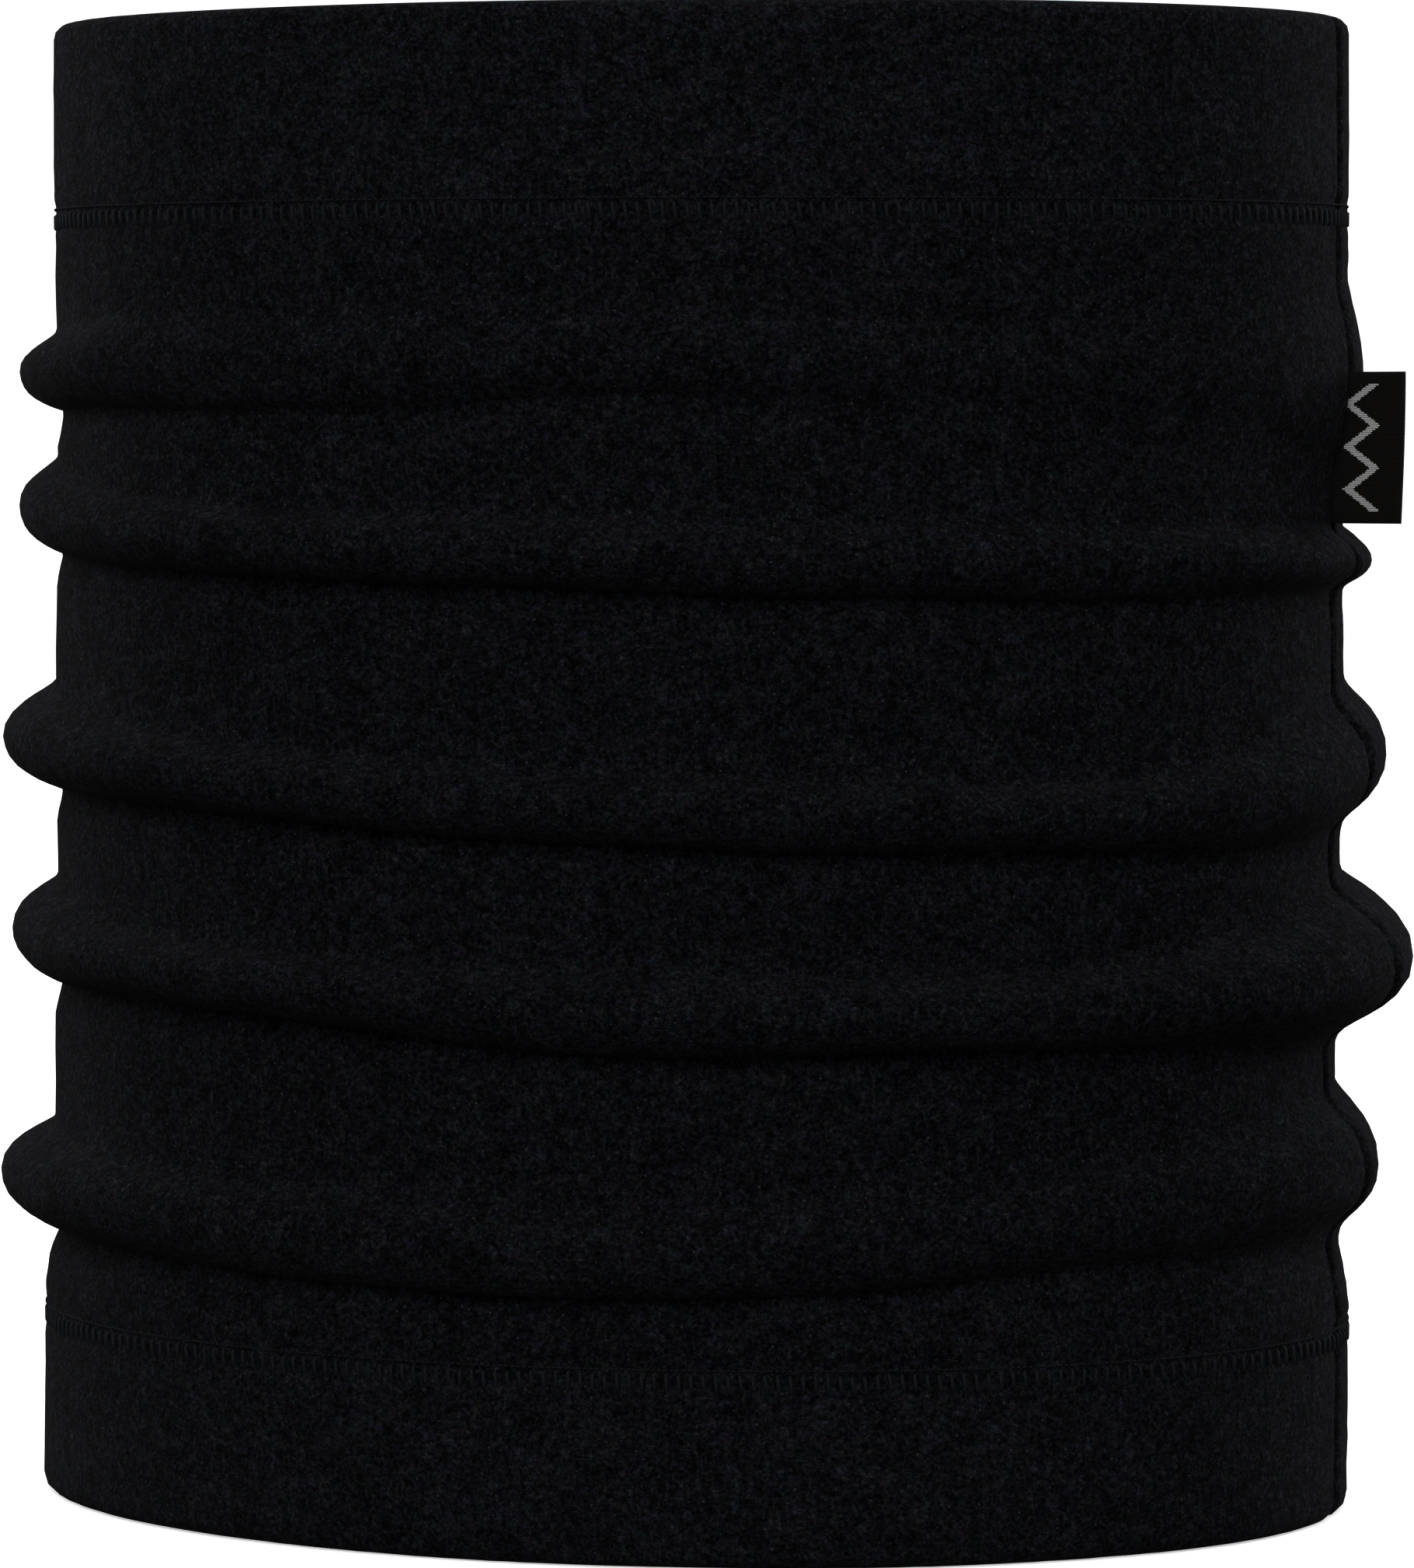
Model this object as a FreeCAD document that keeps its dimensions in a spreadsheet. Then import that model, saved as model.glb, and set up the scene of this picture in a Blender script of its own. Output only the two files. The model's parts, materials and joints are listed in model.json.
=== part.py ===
"""Neck gaiter: one tube of napped fleece, closed by a side seam, hemmed at both ends and
pushed together into five soft folds.

Frame: the origin is on the tube's axis in the plane of the bottom rim. +Z runs up the tube,
X lies across its wide side with the side seam near +X, and -Y is the front.
"""
import FreeCAD, Part
import os
import Sketcher
from FreeCAD import Rotation, Vector

os.makedirs("parts", exist_ok=True)
doc = FreeCAD.newDocument("neck_gaiter")


# ---------------------------------------------------------------- driving dimensions (mm, deg)
# One row per fold, from the top: its place between the hems (0 bottom, 1 top), its dip in
# degrees, the heading of its lowest side, and how far it stands out at the left, right, front
# and back.
FOLD_FIELDS = ("place", "dip", "heading", "left", "right", "front", "back")
FOLD_ROWS = [
    (0.885, 1.5, 120.0, 6.0, 3.0, 2.5, 4.0),
    (0.725, 3.0, -60.0, 6.3, 3.5, 4.5, 5.0),
    (0.510, 5.0, -90.0, 8.5, 6.5, 5.5, 5.5),
    (0.318, 4.5, -90.0, 7.8, 9.8, 5.5, 6.0),
    (0.105, 3.0, -150.0, 8.6, 4.5, 4.5, 5.0),
]
FOLDS = len(FOLD_ROWS)
# Across one fold, from its foot to its head: the rise as a share of half the fold's height,
# and the share of the stand-out reached there.
FOLD_ROUND = [(-1.0, 0.0), (-0.6, 0.7), (0.0, 1.0), (0.6, 0.7), (1.0, 0.0)]

sizes = {
    "half_width": 100.0,  # outside of the cloth, along X
    "half_depth": 60.0,  # outside of the cloth, along Y
    "height": 228.0,  # rim to rim, with the folds standing
    "rim_flare": 2.0,  # the bottom hem is this much wider all round
    "fleece": 2.2,  # thickness of one layer
    "layer_gap": 0.4,  # between the two layers of a hem
    "rim_round": 1.9,  # rounding of the turned rims
    "top_turn": 32.5,  # how far the cloth is turned in at the top
    "bottom_turn": 31.0,  # and at the bottom
    "plain_band": 2.0,  # straight cloth past a turned edge, before the folds
    "fold_half": 7.0,  # half the height of one fold
    "stitch_width": 4.4,  # height of the ladder of a hem seam
    "thread": 0.4,  # how far a row of stitches stands off the cloth
    "thread_clear": 0.05,  # between a row of stitches and the cloth
    "edge_margin": 0.6,  # from a turned edge to the seam that holds it
    "seam_angle": -8.0,  # place of the side seam on the ellipse, from +X
    "allowance": 7.0,  # width of the side seam's allowance, inside the tube
    "needle_line": 1.2,  # from the wall to the side seam's needle thread
    "needle_width": 0.5,  # width of the needle thread's line
    "loop_width": 4.6,  # width of the overlock's loops on the allowance
    "side_ply": 0.45,  # thickness of the side label's ribbon, which lies double
    "side_height": 22.8,
    "side_drop": 53.5,  # top of the side label below the top rim
    "side_reach": 5.4,  # its free part, past the line where it bends
    "care_ply": 0.3,  # thickness of the care label's ribbon, which lies double
    "care_height": 24.0,
    "care_rise": 62.0,  # bottom of the care label above the bottom rim
    "care_reach": 25.0,
    "care_lean": 55.0,  # how far it leans from straight inward, to the back
    "tail_length": 5.5,  # how deep the ends of a label lie in the allowance
    "slot_clear": 0.1,  # round the ends of a label in the allowance
    "swing_clear": 0.8,  # from the cloth to the line where a label bends
    "bend_half": 0.6,  # half the gap that stands for the bending ribbon
}
for number, row in enumerate(FOLD_ROWS, start=1):
    for field, value in zip(FOLD_FIELDS, row):
        sizes[f"fold{number}_{field}"] = value

sheet = doc.addObject("Spreadsheet::Sheet", "dims")
for line, (alias, value) in enumerate(sizes.items(), start=1):
    sheet.set(f"A{line}", alias)
    sheet.set(f"B{line}", str(value))
    sheet.setAlias(f"B{line}", alias)
doc.recompute()

# ---------------------------------------------------------------- expressions used throughout
TURNED = "(2*dims.fleece + dims.layer_gap)"  # both layers of a hem, with their gap
TOP_RAW = "(dims.height - dims.top_turn)"  # the turned edges, inside the tube
BOTTOM_RAW = "dims.bottom_turn"
TOP_FREE = "(dims.height - dims.top_turn - dims.plain_band)"  # the folds lie between these
BOTTOM_FREE = "(dims.bottom_turn + dims.plain_band)"
SEAM_X = "dims.half_width*cos(dims.seam_angle)"
SEAM_Y = "dims.half_depth*sin(dims.seam_angle)"
SEAM_OUT = "atan2(dims.half_width*sin(dims.seam_angle); dims.half_depth*cos(dims.seam_angle))"
WIDEST = "max(max(dims.fold1_right; dims.fold2_right); max(dims.fold3_right; dims.fold4_right))"
FREE_EDGE = "(-dims.fleece - dims.allowance)"  # of the allowance, measured out from the wall

parts = []


def keep(thing, label):
    """Marks an object of the document as a finished sub-part."""
    thing.Label = label
    parts.append(thing)


def cut(name, base, tool):
    made = doc.addObject("Part::Cut", name)
    made.Base, made.Tool = base, tool
    return made


def fuse(name, *shapes):
    made = doc.addObject("Part::MultiFuse", name)
    made.Shapes = list(shapes)
    return made


# ---------------------------------------------------------------- ellipses, columns and rings
def ellipse(name, inset, level, flare=False):
    """A level ellipse, inset from the outside of the cloth."""
    wider = " + dims.rim_flare" if flare else ""
    ring = doc.addObject("Part::Ellipse", name)
    ring.setExpression("MajorRadius", f"dims.half_width{wider} - {inset}")
    ring.setExpression("MinorRadius", f"dims.half_depth{wider} - {inset}")
    ring.setExpression("Placement.Base.z", level)
    return ring


def column(name, inset, low, high, flare=False):
    """A solid elliptical column between two levels."""
    solid = doc.addObject("Part::Extrusion", name)
    solid.Base = ellipse(name + "_outline", inset, low, flare)
    solid.DirMode = "Custom"
    solid.Dir = Vector(0, 0, 1)
    solid.Solid = True
    solid.setExpression("LengthFwd", f"{high} - {low}")
    return solid


def band(name, outer, inner, low, high, flare=False):
    """An elliptical ring between two insets and two levels."""
    outside = column(name + "_outside", outer, low, high, flare)
    return cut(name, outside, column(name + "_inside", inner, low, high, flare))


def fold_ring(name, n, inset, rise, share):
    """Fold n's outline in its own dipping plane, at a share of its stand-out."""
    ring = doc.addObject("Part::Ellipse", name)
    f = f"dims.fold{n}_"
    half_x = f"dims.half_width + {share}*({f}left + {f}right)/2 - {inset}"
    half_y = f"dims.half_depth + {share}*({f}front + {f}back)/2 - {inset}"
    level = f"{BOTTOM_FREE} + {f}place*({TOP_FREE} - {BOTTOM_FREE}) + {rise}*dims.fold_half"
    ring.setExpression("MajorRadius", half_x)
    ring.setExpression("MinorRadius", half_y)
    ring.setExpression("Placement.Base.x", f"{share}*({f}right - {f}left)/2")
    ring.setExpression("Placement.Base.y", f"{share}*({f}back - {f}front)/2")
    ring.setExpression("Placement.Base.z", level)
    ring.setExpression("Placement.Rotation.Axis.x", f"-sin({f}heading)")
    ring.setExpression("Placement.Rotation.Axis.y", f"cos({f}heading)")
    ring.setExpression("Placement.Rotation.Axis.z", "0")
    ring.setExpression("Placement.Rotation.Angle", f"{f}dip")
    return ring


def folded_column(name, inset):
    """The solid that the folded cloth bounds, between the two hems."""
    rings = [ellipse(name + "_foot", inset, BOTTOM_FREE, flare=True)]
    for n in range(FOLDS, 0, -1):
        for step, (rise, share) in enumerate(FOLD_ROUND):
            rings.append(fold_ring(f"{name}_{n}_{step}", n, inset, rise, share))
    rings.append(ellipse(name + "_head", inset, TOP_FREE))
    loft = doc.addObject("Part::Loft", name)
    loft.Sections = rings
    loft.Solid = True
    loft.Ruled = True
    return loft


# ---------------------------------------------------------------- places at the side seam
def at_seam(thing, out, along, level, turn="0"):
    """Places an object by the side seam: out from the wall, along it, and up."""
    thing.setExpression(
        "Placement.Base.x", f"{SEAM_X} + ({out})*cos({SEAM_OUT}) - ({along})*sin({SEAM_OUT})"
    )
    thing.setExpression(
        "Placement.Base.y", f"{SEAM_Y} + ({out})*sin({SEAM_OUT}) + ({along})*cos({SEAM_OUT})"
    )
    thing.setExpression("Placement.Base.z", level)
    thing.Placement.Rotation = Rotation(Vector(0, 0, 1), 1)
    thing.setExpression("Placement.Rotation.Angle", f"{SEAM_OUT} + ({turn})*1 deg")


def seam_box(name, out, along, up):
    """A box by the side seam; each argument is the pair of its two ends."""
    box = doc.addObject("Part::Box", name)
    box.setExpression("Length", f"({out[1]}) - ({out[0]})")
    box.setExpression("Width", f"({along[1]}) - ({along[0]})")
    box.setExpression("Height", f"({up[1]}) - ({up[0]})")
    at_seam(box, out[0], along[0], up[0])
    return box


# ---------------------------------------------------------------- fleece panel
# The outside of the cloth, and the space inside the tube with the hems turned in.
outside = fuse(
    "cloth_outside",
    column("bottom_outside", "0", "0", BOTTOM_FREE, flare=True),
    folded_column("folds_outside", "0"),
    column("top_outside", "0", TOP_FREE, "dims.height"),
)
hollow = fuse(
    "cloth_hollow",
    column("bottom_bore", TURNED, "0", BOTTOM_RAW, flare=True),
    column("bottom_hollow", "dims.fleece", BOTTOM_RAW, BOTTOM_FREE, flare=True),
    folded_column("folds_hollow", "dims.fleece"),
    column("top_hollow", "dims.fleece", TOP_FREE, TOP_RAW),
    column("top_bore", TURNED, TOP_RAW, "dims.height"),
)
# The thin gap between the layers of each hem, closed at the rim and open at the raw edge.
between = "(dims.fleece + dims.layer_gap)"
bottom_gap = band(
    "bottom_gap", "dims.fleece", between, "dims.fleece", BOTTOM_RAW, flare=True
)
top_gap = band("top_gap", "dims.fleece", between, TOP_RAW, "(dims.height - dims.fleece)")

# The side seam's allowance: both raw edges of the panel, side by side, standing inward.
allowance_box = seam_box(
    "allowance_box",
    (FREE_EDGE, f"2*{WIDEST}"),
    ("-dims.fleece", "dims.fleece"),
    (BOTTOM_RAW, TOP_RAW),
)
allowance = doc.addObject("Part::Common", "allowance_strip")
allowance.Base, allowance.Tool = allowance_box, outside


def label_slot(name, out, ply, low, tall):
    half = f"(dims.{ply} + dims.slot_clear)"
    up = (f"{low} - dims.slot_clear", f"{low} + {tall} + dims.slot_clear")
    return seam_box(name, out, (f"-{half}", half), up)


SIDE_LOW = "(dims.height - dims.side_drop - dims.side_height)"
SIDE_BEND = "(max(dims.fold1_right; dims.fold2_right) + dims.swing_clear)"
SIDE_TAIL = "(-dims.fleece - dims.tail_length)"
CARE_BEND = f"({FREE_EDGE} - dims.swing_clear)"
CARE_TAIL = f"({FREE_EDGE} + dims.tail_length)"
side_slot = label_slot(
    "side_slot",
    (f"{SIDE_TAIL} - dims.slot_clear", f"2*{WIDEST}"),
    "side_ply",
    SIDE_LOW,
    "dims.side_height",
)
care_slot = label_slot(
    "care_slot",
    (f"{FREE_EDGE} - dims.swing_clear", f"{CARE_TAIL} + dims.slot_clear"),
    "care_ply",
    "dims.care_rise",
    "dims.care_height",
)

wall = cut("cloth_wall", outside, hollow)
cloth = fuse("cloth_with_allowance", wall, allowance)
openings = fuse("gaps_and_slots", bottom_gap, top_gap, side_slot, care_slot)
square_rims = cut("square_rims", cloth, openings)
doc.recompute()


def rim_edges(shape):
    """The edges of the flat rims, which the turned cloth rounds."""
    levels = (shape.BoundBox.ZMin, shape.BoundBox.ZMax)
    names = []
    for number, edge in enumerate(shape.Edges, start=1):
        box = edge.BoundBox
        if any(max(abs(box.ZMin - z), abs(box.ZMax - z)) < 1e-3 for z in levels):
            names.append(f"Edge{number}")
    return names


panel = doc.addObject("PartDesign::Body", "panel")
panel.BaseFeature = square_rims
doc.recompute()
turned_cloth = panel.Tip
rounding = panel.newObject("PartDesign::Fillet", "rim_rounding")
rounding.Base = (turned_cloth, rim_edges(turned_cloth.Shape))
rounding.setExpression("Radius", "dims.rim_round")
panel.Tip = rounding
keep(panel, "fleece_panel")

# ---------------------------------------------------------------- hem threads
# Each hem is held by a needle thread, laddered on the outside, and a looper thread that covers
# the turned edge inside.
HEMS = {
    "top": (f"({TOP_RAW} + dims.edge_margin)", False),
    "bottom": (f"({BOTTOM_RAW} - dims.edge_margin - dims.stitch_width)", True),
}
for end, (low, flare) in HEMS.items():
    high = f"({low} + dims.stitch_width)"
    lift = "(dims.thread_clear + dims.thread)"
    ladder = band(f"{end}_ladder", f"(-{lift})", "(-dims.thread_clear)", low, high, flare)
    keep(ladder, f"{end}_hem_needle_thread")
    inner = f"({TURNED} + {lift})"
    loops = band(f"{end}_loops", f"({TURNED} + dims.thread_clear)", inner, low, high, flare)
    keep(loops, f"{end}_hem_looper_thread")

# ---------------------------------------------------------------- side seam threads
# A three-thread overlock: a needle line through the allowance near the wall, and loops that
# lie on its two faces up to the free edge.
NEAR = "(dims.fleece + dims.thread_clear)"
FAR = f"({NEAR} + dims.thread)"
SEAM_UP = (BOTTOM_RAW, TOP_RAW)
LEFT_FACE, RIGHT_FACE = (NEAR, FAR), (f"-{FAR}", f"-{NEAR}")
needle_out = "(-dims.fleece - dims.needle_line)"
needle_line = (f"{needle_out} - dims.needle_width", needle_out)
loop_strip = (FREE_EDGE, f"{FREE_EDGE} + dims.loop_width")
needle_back = seam_box("needle_back", needle_line, LEFT_FACE, SEAM_UP)
needle_front = seam_box("needle_front", needle_line, RIGHT_FACE, SEAM_UP)
keep(fuse("seam_needle", needle_back, needle_front), "side_seam_needle_thread")
keep(seam_box("upper_loops", loop_strip, LEFT_FACE, SEAM_UP), "side_seam_upper_looper_thread")
keep(seam_box("lower_loops", loop_strip, RIGHT_FACE, SEAM_UP), "side_seam_lower_looper_thread")


# ---------------------------------------------------------------- labels
def ribbon(label, start, reach, ply, tall, out, low, turn):
    """A doubled ribbon, from a start beside its bend out to its reach."""
    body = doc.addObject("PartDesign::Body", label + "_body")
    plane = next(p for p in body.Origin.OriginFeatures if p.Role == "XY_Plane")
    sketch = body.newObject("Sketcher::SketchObject", label + "_section")
    sketch.AttachmentSupport = [(plane, "")]
    sketch.MapMode = "FlatFace"
    near, far, half = 1.0, 6.0, 0.5
    corners = [Vector(x, y, 0) for x, y in ((near, -half), (far, -half), (far, half), (near, half))]
    lines = [
        sketch.addGeometry(Part.LineSegment(a, b)) for a, b in zip(corners, corners[1:] + corners[:1])
    ]
    lower, tip, upper, root = lines
    for first, second in zip(lines, lines[1:] + lines[:1]):
        sketch.addConstraint(Sketcher.Constraint("Coincident", first, 2, second, 1))
    for line, lie in ((lower, "Horizontal"), (upper, "Horizontal"), (tip, "Vertical")):
        sketch.addConstraint(Sketcher.Constraint(lie, line))
    x_axis, origin = -1, -1
    sketch.addConstraint(Sketcher.Constraint("Symmetric", root, 1, root, 2, x_axis))
    driven = {
        "near": (Sketcher.Constraint("DistanceX", origin, 1, root, 2, near), start),
        "far": (Sketcher.Constraint("DistanceX", origin, 1, lower, 2, far), reach),
        "thick": (Sketcher.Constraint("DistanceY", root, 2, root, 1, 2 * half), f"2*dims.{ply}"),
    }
    for name, (constraint, expression) in driven.items():
        number = sketch.addConstraint(constraint)
        sketch.renameConstraint(number, name)
        sketch.setExpression(f"Constraints.{name}", expression)
    pad = body.newObject("PartDesign::Pad", label + "_cloth")
    pad.Profile = sketch
    pad.setExpression("Length", tall)
    body.Tip = pad
    at_seam(body, out, "0", low, turn)
    keep(body, label)


ribbon(
    "side_label", "dims.bend_half", "dims.side_reach", "side_ply", "dims.side_height",
    SIDE_BEND, SIDE_LOW, "0",
)
ribbon(
    "side_label_tail", "dims.bend_half", f"{SIDE_BEND} - {SIDE_TAIL}", "side_ply",
    "dims.side_height", SIDE_BEND, SIDE_LOW, "180",
)
ribbon(
    "care_label", "dims.bend_half", "dims.care_reach", "care_ply", "dims.care_height",
    CARE_BEND, "dims.care_rise", "180 - dims.care_lean",
)
ribbon(
    "care_label_tail", "dims.bend_half", f"{CARE_TAIL} - {CARE_BEND}", "care_ply",
    "dims.care_height", CARE_BEND, "dims.care_rise", "0",
)

# ---------------------------------------------------------------- check and write
doc.recompute()
for thing in doc.Objects:
    if {"Invalid", "Error"} & set(thing.State):
        raise RuntimeError(f"{thing.Name} failed: {thing.State}")
for thing in parts:
    shape = thing.Shape
    if shape.isNull() or not shape.isValid() or shape.Volume <= 0:
        raise RuntimeError(f"{thing.Label} has no valid solid")
    print(f"{thing.Label}: {len(shape.Solids)} solid(s), {shape.Volume:.0f} mm3")
for thing in parts:
    thing.Shape.exportStep(os.path.join("parts", thing.Label + ".step"))
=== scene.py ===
"""Neck gaiter: a napped fleece tube with turned hems, a side seam and two ribbon labels."""

import json
import math

import bmesh
import bpy
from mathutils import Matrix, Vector, geometry, noise


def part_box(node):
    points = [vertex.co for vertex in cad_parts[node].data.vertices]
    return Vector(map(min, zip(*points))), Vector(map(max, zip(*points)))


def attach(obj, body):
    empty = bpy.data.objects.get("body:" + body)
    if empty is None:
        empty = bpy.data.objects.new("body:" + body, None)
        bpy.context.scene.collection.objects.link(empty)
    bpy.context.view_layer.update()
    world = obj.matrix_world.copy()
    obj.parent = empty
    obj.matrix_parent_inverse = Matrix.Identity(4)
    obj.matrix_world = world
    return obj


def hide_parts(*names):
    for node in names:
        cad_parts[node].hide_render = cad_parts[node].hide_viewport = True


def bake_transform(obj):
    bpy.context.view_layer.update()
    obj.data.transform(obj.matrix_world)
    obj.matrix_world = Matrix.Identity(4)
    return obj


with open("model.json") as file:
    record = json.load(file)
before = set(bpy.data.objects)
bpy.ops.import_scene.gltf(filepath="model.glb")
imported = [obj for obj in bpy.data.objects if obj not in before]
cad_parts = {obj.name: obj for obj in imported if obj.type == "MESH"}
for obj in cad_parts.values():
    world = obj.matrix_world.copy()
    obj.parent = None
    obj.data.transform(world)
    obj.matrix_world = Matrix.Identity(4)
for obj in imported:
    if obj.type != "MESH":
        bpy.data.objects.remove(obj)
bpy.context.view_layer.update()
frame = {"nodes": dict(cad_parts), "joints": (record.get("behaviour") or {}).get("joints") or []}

# ---------------------------------------------------------------- camera
# It stands a little to the right of the front, level with the upper third of the tube.
distance, azimuth, eye_height = 0.916, math.radians(8.1), 0.1727
eye = Vector((distance * math.sin(azimuth), -distance * math.cos(azimuth), eye_height))
aim = Vector((0.0016, 0.0002, 0.1108))
lens = bpy.data.cameras.new("camera")
lens.sensor_fit = "VERTICAL"
lens.angle = math.radians(15.08)
camera = bpy.data.objects.new("camera", lens)
camera.location = eye
camera.rotation_euler = (aim - eye).to_track_quat("-Z", "Y").to_euler()
bpy.context.collection.objects.link(camera)
bpy.context.scene.camera = camera

# ---------------------------------------------------------------- fleece panel
# One cut piece of polyester fleece, napped on both sides, sewn into a tube. Both ends are
# turned in once, and the tube is pushed down so that it stands in five soft level folds.
cloth = 0.0022
hem_gap = 0.0004
thread_lift = 0.00045
edge_margin = 0.0006
columns = 256
seam_heading = math.radians(-8)
rim_bottom, rim_top = (corner.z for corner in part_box("fleece_panel"))
top_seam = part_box("top_hem_needle_thread")
bottom_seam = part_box("bottom_hem_needle_thread")
half_width = top_seam[1].x - thread_lift
half_depth = top_seam[1].y - thread_lift
flare = bottom_seam[1].x - thread_lift - half_width
raw_top = top_seam[0].z - edge_margin
raw_bottom = bottom_seam[1].z + edge_margin
turn_radius = cloth + hem_gap / 2
top_turn, bottom_turn = rim_top - turn_radius, rim_bottom + turn_radius

# Each fold from the top down, at eight headings round the tube, from the right by way of the
# back, the left and the front: the height of its upper foot and of the crease under it, how far
# it stands out, all in millimetres, and how sharply it tucks in at the crease, from 0 to 1.
folds = [
    ((190, 186, 187, 184, 181.5, 184, 183.5, 184),
     (156.5, 170, 173, 170, 168.5, 169, 170.5, 168),
     (2.8, 3, 3.5, 5, 6.1, 2.8, 1.7, 1.2),
     (0, 0.5, 0.8, 0.8, 0.6, 0.7, 0.5, 0.2)),
    ((152.5, 162, 163, 163, 163, 155.8, 154.3, 153),
     (141.5, 143, 147, 148, 147, 144.6, 142.4, 141.5),
     (4.3, 5, 5, 5.5, 6.0, 4.6, 4.0, 3.6),
     (0.1, 0.7, 0.9, 0.9, 0.6, 0.8, 0.9, 0.65)),
    ((128, 131, 130, 128, 128, 121.2, 118, 116.4),
     (105.2, 112, 113, 111.5, 110, 109.2, 105.5, 104),
     (6.8, 7, 6, 7, 8.1, 5.4, 4.4, 5),
     (0.05, 0.7, 0.9, 0.9, 0.6, 0.8, 0.9, 0.75)),
    ((101, 103, 100, 98, 97.4, 90.5, 88.4, 89),
     (72.4, 84, 84, 81, 80.4, 79.5, 75, 75.6),
     (11.6, 9, 6.5, 6.5, 7.4, 5.4, 4.8, 6.4),
     (0.05, 0.6, 0.9, 0.9, 0.6, 0.8, 0.9, 0.75)),
    ((68.5, 67, 62, 59, 58.5, 56.5, 53.8, 60),
     (41.6, 45, 44, 43, 41.6, 41.2, 39.3, 44.2),
     (6.2, 5, 5, 7, 8.2, 5.6, 4.4, 5),
     (0, 0.5, 0.9, 0.9, 0.6, 0.7, 0.9, 0.5)),
]
# How far the cloth between the folds draws in, at the same headings, and how far the whole
# tube leans to the left at its foot.
waist = (0.2, 0.6, 0.5, 0.2, 0.1, 0.2, 0.2, 0.4)
lean = 0.0012
# Between which heights the wall flares to the bottom hem, and draws in from either hem.
flare_span, top_draw_span, bottom_draw_span = (0.046, 0.030), (0.185, 0.150), (0.036, 0.052)
wall_sway, wall_sway_size = 0.0004, 0.045
# One fold: where its crest lies between the crease and the foot, how far below the crease the
# wall is plain again, and how far a tight crease is pinched in, plain and as a share of the fold.
crest_share, recovery = 0.47, 0.0055
pinch, pinch_share = 0.001, 0.05
row_clear = 0.002
# The dents that seams press in the face, each with its depth and half its width, and the nap's
# unevenness with its size.
line_dent, ladder_dent, side_dent = (0.0002, 0.0007), (0.0004, 0.0018), (0.0013, 0.0009)
line_below_top, ladder_above_foot = 0.0005, 0.0016
nap_height, nap_size = 0.00012, 0.0028
# How near the side seam the mesh is closer, and by how much.
close_reach, closeness = math.radians(30), 0.65


def around(stations, heading):
    """A value at any heading, smoothly between values at evenly spaced ones."""
    count = len(stations)
    place = heading / math.tau * count
    first = math.floor(place)
    t = place - first
    a, b, c, d = (stations[(first + step) % count] for step in (-1, 0, 1, 2))
    return b + t / 2 * (c - a + t * (2 * a - 5 * b + 4 * c - d + t * (3 * (b - c) + d - a)))


def smooth_step(low, high, value):
    t = min(max((value - low) / (high - low), 0), 1)
    return t * t * (3 - 2 * t)


def dent(value, middle, depth, half):
    """How deep a narrow dent is at a value. Well outside the dent it is 0."""
    return depth * math.exp(-(((value - middle) / half) ** 2))


def ripple(heading, up, size, seed):
    """Smooth unevenness, mostly from -1 to 1, with features of a given size."""
    place = Vector((half_width * math.cos(heading), half_depth * math.sin(heading), up))
    return noise.noise(place / size + Vector((seed, 0, 0))) * 1.6


def round_tube(heading, out, up):
    """The point at a heading, a distance out from the plain wall, and a height."""
    left = lean * smooth_step(rim_top, rim_bottom, up)
    across = Vector((half_width * math.cos(heading) - left, half_depth * math.sin(heading), up))
    facing = Vector((half_depth * math.cos(heading), half_width * math.sin(heading), 0))
    return across + facing.normalized() * out


def plain_wall(heading, up):
    """How far out the unfolded wall stands: it flares at the bottom and draws in between."""
    spread = flare * smooth_step(*flare_span, up)
    between = smooth_step(*top_draw_span, up) * smooth_step(*bottom_draw_span, up)
    drawn = around(waist, heading) / 1000 * between
    return spread - drawn + wall_sway * ripple(heading, up, wall_sway_size, seed=3)


def straight(start, end, steps):
    """Evenly spaced points of a straight run, without its last."""
    return [
        tuple(a + (b - a) * step / steps for a, b in zip(start, end)) for step in range(steps)
    ]


def half_turn(out, up, side, steps):
    """The points of a hem's turned edge, over the top (side 1) or under the bottom (-1)."""
    angles = [math.pi * step / steps for step in range(steps)]
    points = [
        (out - turn_radius * math.cos(angle), up + side * turn_radius * math.sin(angle))
        for angle in angles
    ]
    return points if side > 0 else [(2 * out - x, y) for x, y in points]


def curve(start, leave, arrive, end, steps):
    """The points of one smooth curve, without its last."""
    knots = [Vector((*knot, 0)) for knot in (start, leave, arrive, end)]
    points = geometry.interpolate_bezier(*knots, steps + 1)
    return [(point.x, point.y) for point in points[:-1]]


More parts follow.
